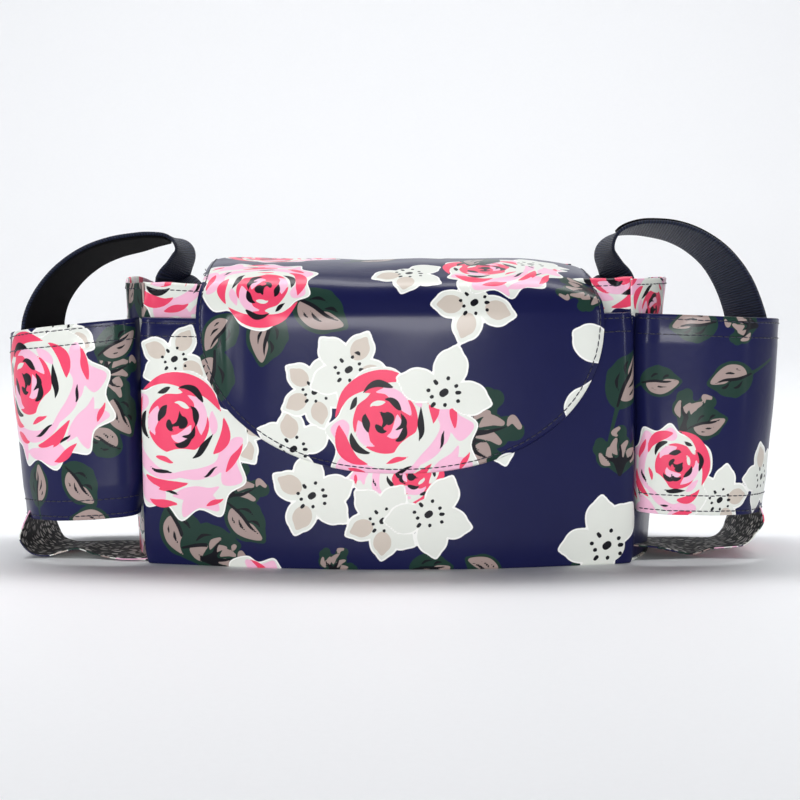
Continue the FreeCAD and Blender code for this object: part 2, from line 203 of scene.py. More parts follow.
def full_rose():
    """A full-blown rose seen a little from its side, in units of its radius: its heart up and to the
    left, and its broad outer petals down and to the right."""
    body = [(-0.80, 0.42), (-0.66, 0.78), (-0.30, 0.90), (-0.02, 0.80), (0.22, 0.94), (0.56, 0.80), (0.66, 0.56),
            (0.96, 0.42), (0.94, 0.12), (1.10, -0.16), (0.84, -0.34), (0.80, -0.64), (0.50, -0.66), (0.34, -0.90),
            (0.02, -0.80), (-0.24, -0.92), (-0.44, -0.68), (-0.78, -0.62), (-0.78, -0.30), (-0.98, -0.08),
            (-0.84, 0.14)]
    x, y = -0.24, 0.20
    shapes = [("white", body, None, 0.0), ("cream", body, None, 0.6)]
    shapes += [("pink", [(0.50, 0.76), (0.66, 0.50), (0.92, 0.38), (0.78, 0.14), (0.56, 0.34), (0.40, 0.62)], None, 0),
               ("pink", [(1.02, -0.14), (0.82, -0.32), (0.78, -0.58), (0.60, -0.42), (0.66, -0.18), (0.84, -0.06)],
                None, 0),
               ("pink", [(0.46, -0.66), (0.30, -0.84), (0.04, -0.76), (0.12, -0.58), (0.30, -0.52)], None, 0),
               ("pink", [(-0.26, -0.86), (-0.42, -0.66), (-0.72, -0.56), (-0.66, -0.36), (-0.44, -0.44),
                         (-0.24, -0.60)], None, 0),
               ("pink", [(-0.90, -0.06), (-0.78, 0.10), (-0.66, 0.02), (-0.70, -0.22)], None, 0),
               ("pink", [(-0.62, -0.30), (-0.30, -0.42), (0.06, -0.40), (0.34, -0.24), (0.22, -0.46), (-0.06, -0.58),
                         (-0.38, -0.54)], None, 0),
               ("pink", [(0.30, 0.52), (0.48, 0.30), (0.50, 0.02), (0.62, 0.10), (0.62, 0.34), (0.46, 0.54)], None, 0)]
    for ink, radius, start, end, width in (
            ("coral", 0.60, 62, 190, 0.105), ("coral", 0.66, 8, 58, 0.075), ("coral", 0.62, 196, 262, 0.095),
            ("coral", 0.86, -74, -30, 0.075), ("coral", 0.78, 244, 276, 0.055), ("coral", 0.92, 4, 34, 0.05),
            ("coral", 1.12, -62, -40, 0.055), ("coral", 1.18, -22, -8, 0.035),
            ("pink", 0.74, -50, 20, 0.075), ("pink", 1.00, -46, -6, 0.10), ("pink", 0.94, 270, 304, 0.08),
            ("pink", 0.50, 30, 70, 0.06)):
        shapes.append(fold(ink, x, y, radius, start, end, width))
    shapes += [("coral", [(-0.62, 0.34), (-0.50, 0.60), (-0.20, 0.62), (0.08, 0.50), (0.20, 0.22), (0.10, -0.08),
                          (-0.14, -0.22), (-0.42, -0.18), (-0.62, 0.04)], None, 0)]
    for ink, radius, start, end, width in (
            ("pink", 0.36, 20, 120, 0.085), ("pink", 0.34, 190, 262, 0.075), ("cream", 0.44, -62, 8, 0.055),
            ("cream", 0.42, 128, 178, 0.05), ("pink", 0.20, -70, 40, 0.07), ("cream", 0.25, 96, 150, 0.035),
            ("coral", 0.14, 60, 200, 0.06), ("black", 0.27, 40, 104, 0.045), ("black", 0.25, 170, 232, 0.05),
            ("black", 0.09, -40, 120, 0.04), ("black", 0.13, 210, 300, 0.04), ("black", 0.30, -52, 6, 0.045),
            ("black", 0.47, 84, 140, 0.048), ("black", 0.50, -20, 34, 0.045), ("black", 0.48, 210, 262, 0.05),
            ("black", 0.46, 150, 176, 0.035), ("black", 0.71, 286, 316, 0.026), ("black", 0.80, -16, 4, 0.022),
            ("black", 0.96, -52, -38, 0.020), ("coral", 0.55, -76, -44, 0.035)):
        shapes.append(fold(ink, x, y, radius, start, end, width, 0.06))
    shapes += [("black", [(x - 0.10, y + 0.12), (x + 0.02, y + 0.02), (x - 0.02, y - 0.12)], (0.0, 0.045, 0.0), 0),
               ("black", [(x + 0.18, y + 0.16), (x + 0.26, y + 0.02), (x + 0.16, y - 0.10)], (0.0, 0.04, 0.0), 0)]
    return shapes


ROSE = full_rose()


class Print:
    """The print on one panel: how deep inside each ink each place of its flat cloth lies."""

    def __init__(self, flat):
        self.flat = np.asarray(flat, float)
        self.depth = {ink: np.full(len(self.flat), OUTSIDE) for ink in INKS}

    def put(self, shapes, x, y, size, turn=0.0):
        """Prints a motif of that size in millimetres, turned in degrees, over what is there."""
        near = np.flatnonzero(np.hypot(self.flat[:, 0] - x, self.flat[:, 1] - y) < 1.5 * size)
        if not len(near):
            return
        a = math.radians(turn)
        to_motif = np.array([[math.cos(a), -math.sin(a)], [math.sin(a), math.cos(a)]])
        at = (self.flat[near] - (x, y)) @ to_motif / size
        order = list(INKS)
        for ink, points, widths, inset in shapes:
            depth = patch_depth(at, points) if widths is None else stroke_depth(at, points, widths)
            depth = np.maximum(depth * size - inset, OUTSIDE)
            for cover in order[order.index(ink) + 1:]:
                self.depth[cover][near] = np.minimum(self.depth[cover][near], -depth)
            self.depth[ink][near] = np.maximum(self.depth[ink][near], depth)


# ---- surfaces and the cloth made on them ----------------------------------------------------------
def spread(values, f):
    """A value along a line from evenly spaced ones, at the fractions f of its length."""
    dense = smooth_line([[v, 0] for v in values], False, 20)[:, 0]
    return np.interp(f, np.linspace(0, 1, len(dense)), dense)


def evenly(points):
    """Places along a smooth line and their distance from its start."""
    line = smooth_line(points, False, 60)
    return line, np.concatenate([[0], np.cumsum(np.linalg.norm(np.diff(line, axis=0), axis=1))])


class Wall:
    """An upright panel: its lower and upper edges seen from above, and how high each runs."""

    def __init__(self, low, high, low_z, high_z, swell=None):
        self.edges = [evenly(low), evenly(high)]
        self.low_z, self.high_z, self.swell = low_z, high_z, swell
        self.length = max(edge[1][-1] for edge in self.edges)
        self.height = float(np.mean(high_z) - np.mean(low_z))

    def plan(self, f, t):
        (low, low_at), (high, high_at) = self.edges
        places = []
        for axis in (0, 1):
            a = np.interp(f * low_at[-1], low_at, low[:, axis])
            b = np.interp(f * high_at[-1], high_at, high[:, axis])
            places.append(a + (b - a) * t)
        return places

    def __call__(self, u, v):
        """The place of (u along, v up), in millimetres of flat cloth."""
        f, t = np.clip(u / self.length, 0, 1), v / self.height
        x, y = self.plan(f, t)
        z = spread(self.low_z, f) * (1 - t) + spread(self.high_z, f) * t
        if self.swell:
            x1, y1 = self.plan(np.clip(f - 0.004, 0, 1), t)
            x2, y2 = self.plan(np.clip(f + 0.004, 0, 1), t)
            size = np.maximum(np.hypot(x2 - x1, y2 - y1), 1e-6)
            out = self.swell(u, v)
            x, y = x + (y2 - y1) / size * out, y - (x2 - x1) / size * out
        return np.stack([x, y, z], -1)


def normals(surface, u, v, step=0.4):
    """The outward normals of a surface whose cloth's right side faces out."""
    along = surface(u + step, v) - surface(u - step, v)
    up = surface(u, v + step) - surface(u, v - step)
    n = np.cross(along, up)
    return n / np.maximum(np.linalg.norm(n, axis=-1, keepdims=True), 1e-9)


def soft_bump(u, v, at, size, height):
    """A smooth swelling round a place of the cloth, with its half widths."""
    return height * np.exp(-((u - at[0]) / size[0]) ** 2 - ((v - at[1]) / size[1]) ** 2)


def ripple(u, v, length, seed):
    """Gentle unevenness between -1 and 1."""
    k = 2 * math.pi / length
    turn = np.random.default_rng(seed).uniform(0, 2 * math.pi, 8)
    total = 0
    for i in range(4):
        a = turn[i]
        total = total + np.sin(k * (1 + 0.37 * i) * (u * math.cos(a) + v * math.sin(a)) + turn[4 + i]) / (1 + i)
    return total / 2.1


def mesh_piece(name, places, faces, finish):
    """A new smooth mesh object with its place in its mesh."""
    mesh = bpy.data.meshes.new(name)
    mesh.from_pydata((np.asarray(places) * MM).tolist(), [], [list(f) for f in faces])
    mesh.validate()
    mesh.shade_smooth()
    mesh.materials.append(finish)
    piece = bpy.data.objects.new(name, mesh)
    bpy.context.scene.collection.objects.link(piece)
    return piece


def grid_faces(rows, columns, closed=False):
    """The quads of a grid of points stored row after row."""
    i, j = np.meshgrid(np.arange(rows - 1), np.arange(columns if closed else columns - 1), indexing="ij")
    a = i * columns + j
    b = i * columns + (j + 1) % columns
    return np.stack([a, b, b + columns, a + columns], -1).reshape(-1, 4)


def write_number(piece, name, values):
    """Writes a number on every point of a piece, for its finish to read."""
    attribute = piece.data.attributes.new(name, "FLOAT", "POINT")
    attribute.data.foreach_set("value", np.asarray(values, np.float32))


def cloth(name, surface, u, v, thick, finish, printed=None, turned=3.0):
    """A panel of cloth over the flat places u, v, which are grids. Its edges are turned back to its
    thickness, and it is printed with what `printed` draws on it."""
    core = surface(u, v)
    out = normals(surface, u, v)
    rows, columns = u.shape
    rim = [(0.0, 0.0), (0.30, 0.22), (0.36, 0.62), (0.0, 1.0), (-turned, 1.05)]  # outwards, and down
    pad = len(rim) - 1
    index = [np.concatenate([np.zeros(pad), np.arange(n), np.full(pad, n - 1)]).astype(int)
             for n in (rows, columns)]
    beyond = [np.concatenate([np.arange(pad, 0, -1), np.zeros(n), np.arange(1, pad + 1)])
              for n in (rows, columns)]
    side = [np.concatenate([-np.ones(pad), np.zeros(n), np.ones(pad)]) for n in (rows, columns)]
    i, j = np.meshgrid(*index, indexing="ij")
    di, dj = np.meshgrid(*beyond, indexing="ij")
    si, sj = np.meshgrid(*side, indexing="ij")
    level = np.maximum(di, dj).astype(int)
    reach = np.array([r[0] for r in rim])
    drop = np.array([r[1] for r in rim])[level] * thick
    up = np.gradient(core, axis=0)
    up /= np.maximum(np.linalg.norm(up, axis=-1, keepdims=True), 1e-9)
    across = np.gradient(core, axis=1)
    across /= np.maximum(np.linalg.norm(across, axis=-1, keepdims=True), 1e-9)
    reach = reach * np.where(reach > 0, thick, 1.0)
    move_i = (si * reach[di.astype(int)])[..., None] * up[i, j]
    move_j = (sj * reach[dj.astype(int)])[..., None] * across[i, j]
    places = core[i, j] + move_i + move_j - out[i, j] * drop[..., None]
    tall, wide = places.shape[:2]
    piece = mesh_piece(name, places.reshape(-1, 3), grid_faces(tall, wide), finish)
    if printed:
        ink = Print(np.column_stack([u.ravel(), v.ravel()]))
        printed(ink)
        for colour, depth in ink.depth.items():
            write_number(piece, "ink_" + colour, depth.reshape(rows, columns)[i, j].ravel())
    return piece


def flat_grid(length, height, step):
    """A grid of flat places over a rectangle of cloth."""
    u = np.linspace(0, length, max(int(length / step), 2))
    v = np.linspace(0, height, max(int(height / step), 2))
    return np.meshgrid(u, v)


STITCH, STITCH_GAP, STITCH_LIFT, STITCH_WANDER, THREAD_HALF = 2.5, 0.45, 0.12, 0.08, 0.29


def stitches(surface, places):
    """Stitches sewn along flat places of a surface: their middles, their directions, the surface's outward
    normals there and the thread's half thickness."""
    line = np.asarray(places, float)
    at = np.concatenate([[0], np.cumsum(np.linalg.norm(np.diff(line, axis=0), axis=1))])
    count = int(at[-1] / (STITCH + STITCH_GAP))
    middle = (np.arange(count) + 0.5) * (STITCH + STITCH_GAP)
    wander = rng.normal(0, STITCH_WANDER, (2, count))
    ends = []
    for offset in (-STITCH / 2, STITCH / 2):
        flat = [np.interp(middle + offset, at, line[:, k]) for k in (0, 1)]
        ends.append(surface(flat[0] + wander[0] * offset, flat[1] + wander[1] * 0.6))
    flat = [np.interp(middle, at, line[:, k]) for k in (0, 1)]
    out = normals(surface, *flat)
    return (ends[0] + ends[1]) / 2 + out * STITCH_LIFT, ends[1] - ends[0], out, THREAD_HALF


def sew(name, rows, finish):
    """One piece that holds every stitch of several rows, each a small bead of thread."""
    bpy.ops.object.select_all(action="DESELECT")
    bpy.ops.mesh.primitive_uv_sphere_add(segments=6, ring_count=4, radius=1)
    bead = bpy.context.object
    ball = np.array([v.co for v in bead.data.vertices])
    ball_faces = [list(f.vertices) for f in bead.data.polygons]
    bpy.data.objects.remove(bead)
    places, faces = [], []
    for middles, along, out, thread in rows:
        for m, a, n in zip(middles, along, out):
            half = np.linalg.norm(a) / 2
            a = a / max(2 * half, 1e-9)
            side = np.cross(n, a)
            start = len(places) * len(ball)
            places.append(m + ball[:, [2]] * a * (half + thread * 0.4) + ball[:, [0]] * side * thread
                          + ball[:, [1]] * n * thread)
            faces += [[start + k for k in f] for f in ball_faces]
    return mesh_piece(name, np.vstack(places), faces, finish)


def hold(piece, body, slot, *nodes):
    """The piece rides on a body and stands for CAD nodes, which it hides. Its slot is not used."""
    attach(piece, body)
    if nodes:
        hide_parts(*nodes)
    return piece


# ---- where the print's motifs fall on each panel ------------------------------------------------------
def along_wall(wall, x, v=50.0):
    """Where on a wall's front face, along it, it has that x."""
    f = np.linspace(0, 1, 400)
    places = wall(f * wall.length, np.full(400, v))
    front = np.flatnonzero(places[:, 1] < -15)
    front = front[np.concatenate([[True], np.diff(places[front, 0]) > 0])]
    return float(np.interp(x, places[front, 0], f[front] * wall.length))


def lay(printed, wall, motifs):
    """Prints motifs given by their x from the bag's middle and their height."""
    for shapes, x, z, size, *turn in motifs:
        printed.put(shapes, along_wall(wall, x, z), z - float(np.mean(wall.low_z)), size, *turn)


def scattered(*how):
    """A panel's print that is only a scatter."""
    return lambda p: scatter(p, *how)


def scatter(printed, wide, high, seed, spacing=46.0):
    """A loose, even scatter of every motif over a panel."""
    draw = np.random.default_rng(seed)
    rows = int(high / (spacing * 0.8)) + 2
    columns = int(wide / spacing) + 2
    for i in range(rows):
        for j in range(columns):
            x = (j + 0.5 * (i % 2)) * spacing + draw.uniform(-6, 6) - spacing / 2
            y = i * spacing * 0.8 + draw.uniform(-5, 5) - spacing / 4
            turn, kind = draw.uniform(0, 360), (i * 2 + j * 3 + seed) % 5
            for k in range(2):
                a = turn + 130 * k + draw.uniform(-20, 20)
                px, py = ray(a, 20)
                printed.put(leaf(0.4), x + px, y + py, 21, a)
            if kind in (0, 3):
                printed.put(ROSE, x, y, 24, turn)
            elif kind == 4:
                printed.put(spray(), x, y, 20, turn)
            else:
                angles = [turn + 72 * k + draw.uniform(-9, 9) for k in range(5)]
                printed.put(blossom(angles, angles[:1 + seed % 3]), x, y, 17.5)


def print_flap(p):
    p.put(leaf(), -73.0, 109.4, 20, 235)
    p.put(leaf(0.3), -56.0, 112.0, 24, 262)
    p.put(leaf(), -45.0, 118.0, 26, -28)
    p.put(leaf(), -80.2, 94.0, 26, 262)
    p.put(ROSE, -63.0, 131.0, 27, 150)
    p.put(spray(), 88.0, 128.0, 20, 200)
    p.put(blossom((183, 249, -19, 95), (183, 249, -19)), 31.9, 116.2, 19)
    p.put(ROSE, 46.0, 144.0, 28, 20)
    p.put(blossom((200, 260, 320, 40), (200, 260)), 4.0, 138.0, 18)
    p.put(petal(), 92.4, 92.0, 21.3, 146)
    p.put(petal(), 84.6, 79.5, 19, 232)
    p.put(spray(), 22.0, 60.0, 30, 2)
    p.put(blossom((100, 150, 215, 290, 30), (100,)), -46.0, 53.0, 18)
    p.put(blossom((138, 66, -6, 210, 282), (138, 210, 282)), -36.5, 78.0, 16.8)
    p.put(blossom((61, -11, -83, 205, 133), (61, -11), (61,)), -22.0, 87.5, 18.6)
    p.put(petal(), 40.5, 44.0, 12.0, 24)
    p.put(ROSE, -0.5, 57.5, 33, -12)
    p.put(blossom((73, -15, 161)), 18.7, 77.6, 21.5)
    p.put(blossom((0, 50, 100), ()), 60.0, 160.0, 18)
    p.put(leaf(0.4), -20.0, 165.0, 24, 40)
    p.put(ROSE, -55.0, 190.0, 28, 70)
    p.put(blossom((10, 82, 154, 226, 298), (10, 154)), 10.0, 195.0, 19)
    p.put(spray(), 62.0, 190.0, 26, 100)
    p.put(leaf(0.4), 40.0, 175.0, 24, 250)


def print_pocket(p):
    lay(p, POCKET, [
        (leaf(0.8), -99, 24, 25, -62), (spray(), -76, 30, 22, 15), (leaf(), -72, 28, 23, -45),
        (leaf(), -92, 8, 26, 5), (spray(), -84, 3, 20, 0),
        (blossom((61, -28, 155, 210), (61, -28, 155)), -95.8, 91.5, 17),
        (blossom((10, 70, 300, 200), (10, 70, 300)), -69, 60.6, 17), (ROSE, -94.5, 53.5, 33, -50),
        (spray(), -28, -3, 14, 60), (leaf(), 8, 0, 18, 5), (leaf(), 46, -4, 18, 150), (ROSE, -62, -16, 22, 40),
        (leaf(), 78, -4, 16, 20),
        (ROSE, 1.6, 44.4, 21, 200), (blossom((-72, 0, 72, 144, 216), (0, 144)), 43.0, 61.0, 17),
        (blossom((153, 245, -36, 19, 96), (153, 245)), -35.6, 32.7, 19.5),
        (blossom((200, 267, 132, 320, 60), (200, 267)), -4.8, 21.9, 18),
        (blossom((-19, -81, 56, 190), ()), 14.9, 24.6, 20),
        (leaf(0.7), 98, 70, 26, 65), (spray(), 99, 40, 20, 88),
        (blossom((97, 181, 54, 250), ()), 93.5, 8.6, 22.5),
    ])


def print_front(p):
    scatter(p, FRONT.length, WALL_HIGH, 3)
    for x, turn in ((-92, 30), (92, 200), (-40, 90), (40, 10)):
        p.put(ROSE, x + FRONT.length / 2, 132, 30, turn)


def print_left_gusset(p):
    scatter(p, LEFT_GUSSET.length, WALL_HIGH, 4)
    p.put(leaf(0.3), 70, 112, 24, 70)
    p.put(leaf(), 88, 108, 22, 100)


def print_right_gusset(p):
    p.put(leaf(), 52, 24, 24, 60)
    p.put(spray(), 66, 70, 24, 100)
    p.put(leaf(0.4), 44, 84, 22, 170)
    p.put(ROSE, 18, 116, 23, 120)
    p.put(ROSE, 72, 112, 27, 30)


def print_left_cup(p):
    lay(p, LEFT_CUP, [
        (leaf(0.5), -145, 40, 22, -50), (leaf(), -121, 47, 18, 150), (leaf(), -146, 53, 19, 180),
        (leaf(0.4), -124, 70, 21, -62), (spray(), -131, 79, 20, 10), (leaf(), -129, 88, 20, 30),
        (leaf(), -126, 14, 20, 170), (leaf(0.4), -160, 24, 20, 80),
        (blossom((61, -28, 120, 200, 280), (61, -28)), -146.9, 99, 17.5), (ROSE, -158, 71, 34, -8),
    ])
    p.put(leaf(0.4), 20, 60, 24, 120)
    p.put(blossom((10, 80, 150, 225, 300), (10,)), 40, 30, 18)
    p.put(ROSE, 30, 85, 24, 70)


def print_right_cup(p):
    lay(p, RIGHT_CUP, [
        (leaf(0.3), 109, 76.6, 18, 5), (leaf(0.8), 157, 82, 21, 195), (spray(), 160, 103, 16, 170),
        (leaf(), 140, 104, 20, 190), (spray(), 126, 56.5, 20, 45), (leaf(), 130, 58, 18, 15),
        (blossom((80, 150, 225, 300, 10), (300, 10)), 144.3, 26.5, 16.5),
        (blossom((110, 180, 250, 320, 40), (110,)), 166, 36, 17), (ROSE, 119, 36.7, 23.5, -100),
    ])
    length = RIGHT_CUP.length
    p.put(leaf(0.4), length - 20, 60, 24, 120)
    p.put(blossom((10, 80, 150, 225, 300), (10,)), length - 40, 30, 18)
    p.put(ROSE, length - 32, 84, 24, 70)


# ---- finishes --------------------------------------------------------------------------------------
class Socket:
    """A shader socket in a Python expression: arithmetic on it adds the Math nodes."""

    def __init__(self, finish, socket):
        self.finish, self.socket = finish, socket

    def _math(self, operation, *values, clamp=False):
        return self.finish.node("Math", dict(enumerate(values)), operation=operation, use_clamp=clamp)

    def __add__(self, other):
        return self._math("ADD", self, other)

    def __sub__(self, other):
        return self._math("SUBTRACT", self, other)

    def __rsub__(self, other):
        return self._math("SUBTRACT", other, self)

    def __mul__(self, other):
        return self._math("MULTIPLY", self, other)

    __radd__, __rmul__ = __add__, __mul__

    def sine(self):
        return self._math("SINE", self)

    def power(self, exponent):
        return self._math("POWER", self, exponent)

    def clamped(self):
        return self._math("ADD", self, 0.0, clamp=True)


class Finish:
    """A material being mixed. node() adds any node and gives its socket."""

    def __init__(self, name):
        self.material = bpy.data.materials.new(name)
        self.material.use_nodes = True
        self.tree = self.material.node_tree
        self.tree.nodes.clear()

    def node(self, kind, inputs=None, output=0, **settings):
        made = self.tree.nodes.new("ShaderNode" + kind)
        for key, value in settings.items():
            setattr(made, key, value)
        for key, value in (inputs or {}).items():
            if isinstance(value, Socket):
                self.tree.links.new(value.socket, made.inputs[key])
            else:
                made.inputs[key].default_value = value
        return Socket(self, made.outputs[output])

    def place(self):
        """The place on the object, in millimetres."""
        return self.node("VectorMath", {0: self.node("TexCoord", output=3), "Scale": 1 / MM}, operation="SCALE")

    def number(self, name):
        """A number written on the piece."""
        return self.node("Attribute", output=2, attribute_name=name)

    def noise(self, at, size, detail=2.0, roughness=0.5, distortion=0.0):
        return self.node("TexNoise", {"Vector": at, "Scale": 1 / size, "Detail": detail, "Roughness": roughness,
                                      "Distortion": distortion})

    def mix(self, factor, first, second):
        values = {0: factor}
        for key, colour in ((6, first), (7, second)):
            values[key] = colour if isinstance(colour, Socket) else (*colour, 1)
        return self.node("Mix", values, output=2, data_type="RGBA", clamp_factor=True)

    def bump(self, height, strength, distance):
        return self.node("Bump", {"Height": height, "Strength": strength, "Distance": distance})

    def done(self, varying, **constant):
        """Closes the material: what changes over the surface, and what is the same all over it."""
        inputs = {**{k.replace("_", " "): v for k, v in constant.items()}, **varying}
        shader = self.node("BsdfPrincipled", inputs)
        out = self.tree.nodes.new("ShaderNodeOutputMaterial")
        self.tree.links.new(shader.socket, out.inputs[0])
        return self.material


def printed_laminate():
    """Glossy coated cloth in navy with the floral inks, crisp at their edges."""
    f = Finish("printed_laminate")
    at = f.place()
    colour = f.mix(f.noise(at, 14.0, 3.0), [0.93 * c for c in NAVY], [1.07 * c for c in NAVY])
    for ink, tone in INKS.items():
        mask = (f.number("ink_" + ink) * 7.0 + 0.5).clamped()
        colour = f.mix(mask, colour, tone)
    weave = f.noise(at, 0.45, 1.0) * 0.5
    creases = f.noise(at, 9.0, 3.0, 0.55, 0.4)
    smears = f.noise(at, 26.0, 4.0, 0.6)
    normal = f.bump(weave * 0.05 + creases * 0.55, 0.35, 0.0008)
    return f.done({"Base Color": colour, "Roughness": smears * 0.12 + 0.26, "Normal": normal},
                  Coat_Weight=0.17, Coat_Roughness=0.13, Specular_IOR_Level=0.08)


def pebble_lining():
    """Black lining cloth printed with irregular pale pebbles."""
    f = Finish("pebble_lining")
    at = f.place()
    wander = f.node("TexNoise", {"Vector": at, "Scale": 0.22, "Detail": 0.0}, output=1)
    bent = f.node("VectorMath", {0: at, 1: f.node("VectorMath", {0: wander, "Scale": 0.9}, operation="SCALE")},
                  operation="ADD")
    narrow = f.node("VectorMath", {0: bent, 1: (0.25, 0.35, 0.32)}, operation="MULTIPLY")
    cells = {"Vector": narrow, "Scale": 1.0, "Randomness": 0.8}
    gap = f.node("TexVoronoi", cells, output=0, feature="DISTANCE_TO_EDGE")
    core = (gap * 8.0 - 1.1).clamped()
    tone = f.node("TexVoronoi", cells, output=1)
    shade = f.node("SeparateColor", {0: tone})
    pale = f.mix(shade, (0.24, 0.23, 0.22), (0.66, 0.63, 0.60))
    colour = f.mix(core, (0.007, 0.007, 0.009), pale)
    normal = f.bump(f.noise(at, 0.5, 1.0), 0.25, 0.0003)
    return f.done({"Base Color": colour, "Roughness": f.noise(at, 5.0) * 0.15 + 0.55, "Normal": normal},
                  Specular_IOR_Level=0.3)


RIB, YARN = 1.25, 0.8  # how far apart the webbing's ribs and its yarns lie, in millimetres


def ribbed_webbing():
    """Navy woven webbing: ribs across it, and fine yarns in them, with a painted highlight on the ribs' crests and
    painted shade in their grooves.
    """
    f = Finish("ribbed_webbing")
    along, across = f.number("along"), f.number("across")
    at = f.place()
    rib = (along * (2 * math.pi / RIB)).sine() * 0.5 + 0.5
    yarn = (across * (2 * math.pi / YARN) + (along * (math.pi / RIB)).sine() * 1.2).sine() * 0.5 + 0.5
    lint = f.noise(at, 1.2, 3.0, 0.6)
    height = rib.power(0.7) * 0.8 + yarn * 0.2
    # painted highlight and shade: the colour is lighter where the ribs and yarns stand high and darker where they
    # sink; the lint adds random tone
    colour = f.mix(height * 0.8 + lint * 0.25, (0.0022, 0.0028, 0.0070), (0.016, 0.025, 0.064))
    return f.done({"Base Color": colour, "Roughness": lint * 0.2 + 0.42, "Normal": f.bump(height, 0.9, 0.0006)},
                  Specular_IOR_Level=0.35)


def fuzzy_black():
    """The napped face of hook and loop tape."""
    f = Finish("fuzzy_tape")
    at = f.place()
    nap = f.noise(at, 0.55, 4.0, 0.75, 0.8)
    patchy = f.noise(at, 4.0, 2.0)
    colour = f.mix(nap * 0.7 + patchy * 0.4, (0.0012, 0.0012, 0.0016), (0.009, 0.009, 0.011))
    return f.done({"Base Color": colour, "Roughness": nap * 0.15 + 0.8, "Normal": f.bump(nap, 0.9, 0.0009)},
                  Specular_IOR_Level=0.12)


def dark_thread():
    """Twisted dark sewing thread."""
    f = Finish("dark_thread")
    at = f.place()
    ply = f.noise(at, 0.25, 2.0)
    colour = f.mix(ply, (0.008, 0.008, 0.016), (0.035, 0.037, 0.065))
    return f.done({"Base Color": colour, "Roughness": ply * 0.2 + 0.3, "Normal": f.bump(ply, 0.5, 0.0001)})


def studio_paper():
    """The seamless pale sweep that the bag stands on."""
    f = Finish("studio_paper")
    grain = f.noise(f.place(), 3.0, 3.0)
    colour = f.mix(grain, (0.86, 0.87, 0.89), (0.885, 0.895, 0.915))
    return f.done({"Base Color": colour, "Roughness": grain * 0.05 + 0.6})


LAMINATE = printed_laminate()
LINING = pebble_lining()
WEBBING = ribbed_webbing()
FUZZ = fuzzy_black()
THREAD = dark_thread()


# ---- the bag's measures ----------------------------------------------------------------------------
FLAP_X, FLAP_HALF, FLAP_LOW, FLAP_SIDE, FLAP_POWER = 2.6, 88.6, 42.7, 108.0, 2.2
FLAP_BACK_Y = 49.7
FLAP_PROFILE = evenly([(-62.8, 42.7), (-62.8, 80), (-62.8, 106), (-62.2, 113.5), (-59.4, 120.2), (-53.4, 125.2),
                       (-44, 128.6), (-25, 132.2), (0, 133.6), (20, 132.8), (38, 130.4), (49.7, 128.2)])
FOLD_END = 132.0  # the unfolded height past which the flap lies over the mouth
FLAP_END = FLAP_LOW + FLAP_PROFILE[1][-1]
FLAP_HEM = 1.9  # how far inside the flap's edge it is stitched
WALL_HIGH = 124
BASE_WIDE, BASE_DEEP = 220, 104
STRIP_WIDE, STRIP_HIGH = 168, 30
PATCH_WIDE, PATCH_HIGH = 26, 24
PAD, CLOTH, THIN = 4.2, 1.0, 0.5  # the thickness of a padded wall, of cloth and of lining
PRINT_STEP, PLAIN_STEP = 0.75, 2.5  # how far apart the points of printed and of plain cloth lie


# ---- surfaces ---------------------------------------------------------------------------------------
def pocket_swell(u, v):
    """The front pocket's fullness: pillowed at its sides and foot, with slack creases."""
    side = np.minimum(u, 224 - u)
    out = -1.6 * np.exp(-np.maximum(v, 0) / 5) - 0.9 * np.exp(-np.maximum(106 - v, 0) / 3)
    out = out + 0.5 * ripple(u, v * 0.6, 75, 1) * (1 - np.exp(-np.maximum(side, 0) / 14))
    out = out + soft_bump(u, v, (14, 70), (5, 40), 1.0) + soft_bump(u, v, (38, 96), (26, 5), 0.5)
    return out


POCKET = Wall(
    [(-109.4, -34.5), (-110.6, -38.5), (-108.4, -41.6), (-100, -44.2), (-88, -47.0), (-60, -53.2), (-30, -57.3),
     (0, -58.8), (30, -57.3), (60, -53.0), (86, -46.8), (98, -43.8), (104.6, -41.2), (106.6, -38), (105.4, -34.5)],
    [(-110.4, -34.5), (-111.6, -38.5), (-109.4, -41.6), (-101, -44.2), (-88, -47.0), (-60, -53.2), (-30, -57.3),
     (0, -58.8), (30, -57.3), (60, -53.0), (86, -46.8), (98, -43.6), (103, -40.9), (104.8, -38), (103.8, -34.5)],
    [0.4] * 5, [108.2, 107.8, 108.0, 109.4, 110.4], pocket_swell)


def rim_pucker(u, v):
    """The pull of the topstitching near a padded wall's upper edge."""
    near = np.exp(-((v - 118.5) / 4.5) ** 2)
    pull = near * (0.55 * np.sin(u / 2.9 + 1.3 * np.sin(u / 7)) - 0.4)
    return pull + 0.6 * ripple(u, v, 60, 2) - 1.2 * np.exp(-np.maximum(WALL_HIGH - v, 0) / 3)


def back_swell(u, v):
    """The back wall's slight unevenness, drawn in at its foot and at its rim."""
    foot, rim = np.exp(-np.maximum(v, 0) / 5), np.exp(-np.maximum(WALL_HIGH - v, 0) / 4)
    return 0.5 * ripple(u, v, 90, 3) - 1.0 * foot - 1.0 * rim


FRONT = Wall(
    [(-108.6, -35.4), (-80, -42.3), (-40, -46.8), (0, -48), (40, -46.8), (80, -42.0), (103.6, -35.4)],
    [(-110.6, -33.4), (-80, -40.5), (-40, -45), (0, -46.5), (40, -45), (80, -40.2), (104.2, -33.4)],
    [1] * 3, [123.0, 121.6, 121.8, 123.5, 125.0], rim_pucker)
BACK = Wall(
    [(111.5, 49.6), (60, 50), (0, 50), (-60, 50), (-111.5, 49.6)],
    [(111.5, 48.6), (60, 49.8), (0, 50), (-60, 49.8), (-111.5, 48.6)],
    [1] * 3, [121.2, 122.6, 123.0, 120.4, 116.8], back_swell)


def gusset_swell(u, v):
    """A side wall's slack, pulled in at the middle of its rim."""
    middle = np.exp(-((u - 43) / 30) ** 2)
    return 0.9 * ripple(u, v, 50, 4) * (0.4 + v / 200) - 0.6 * middle * np.exp(-((v - 112) / 22) ** 2)


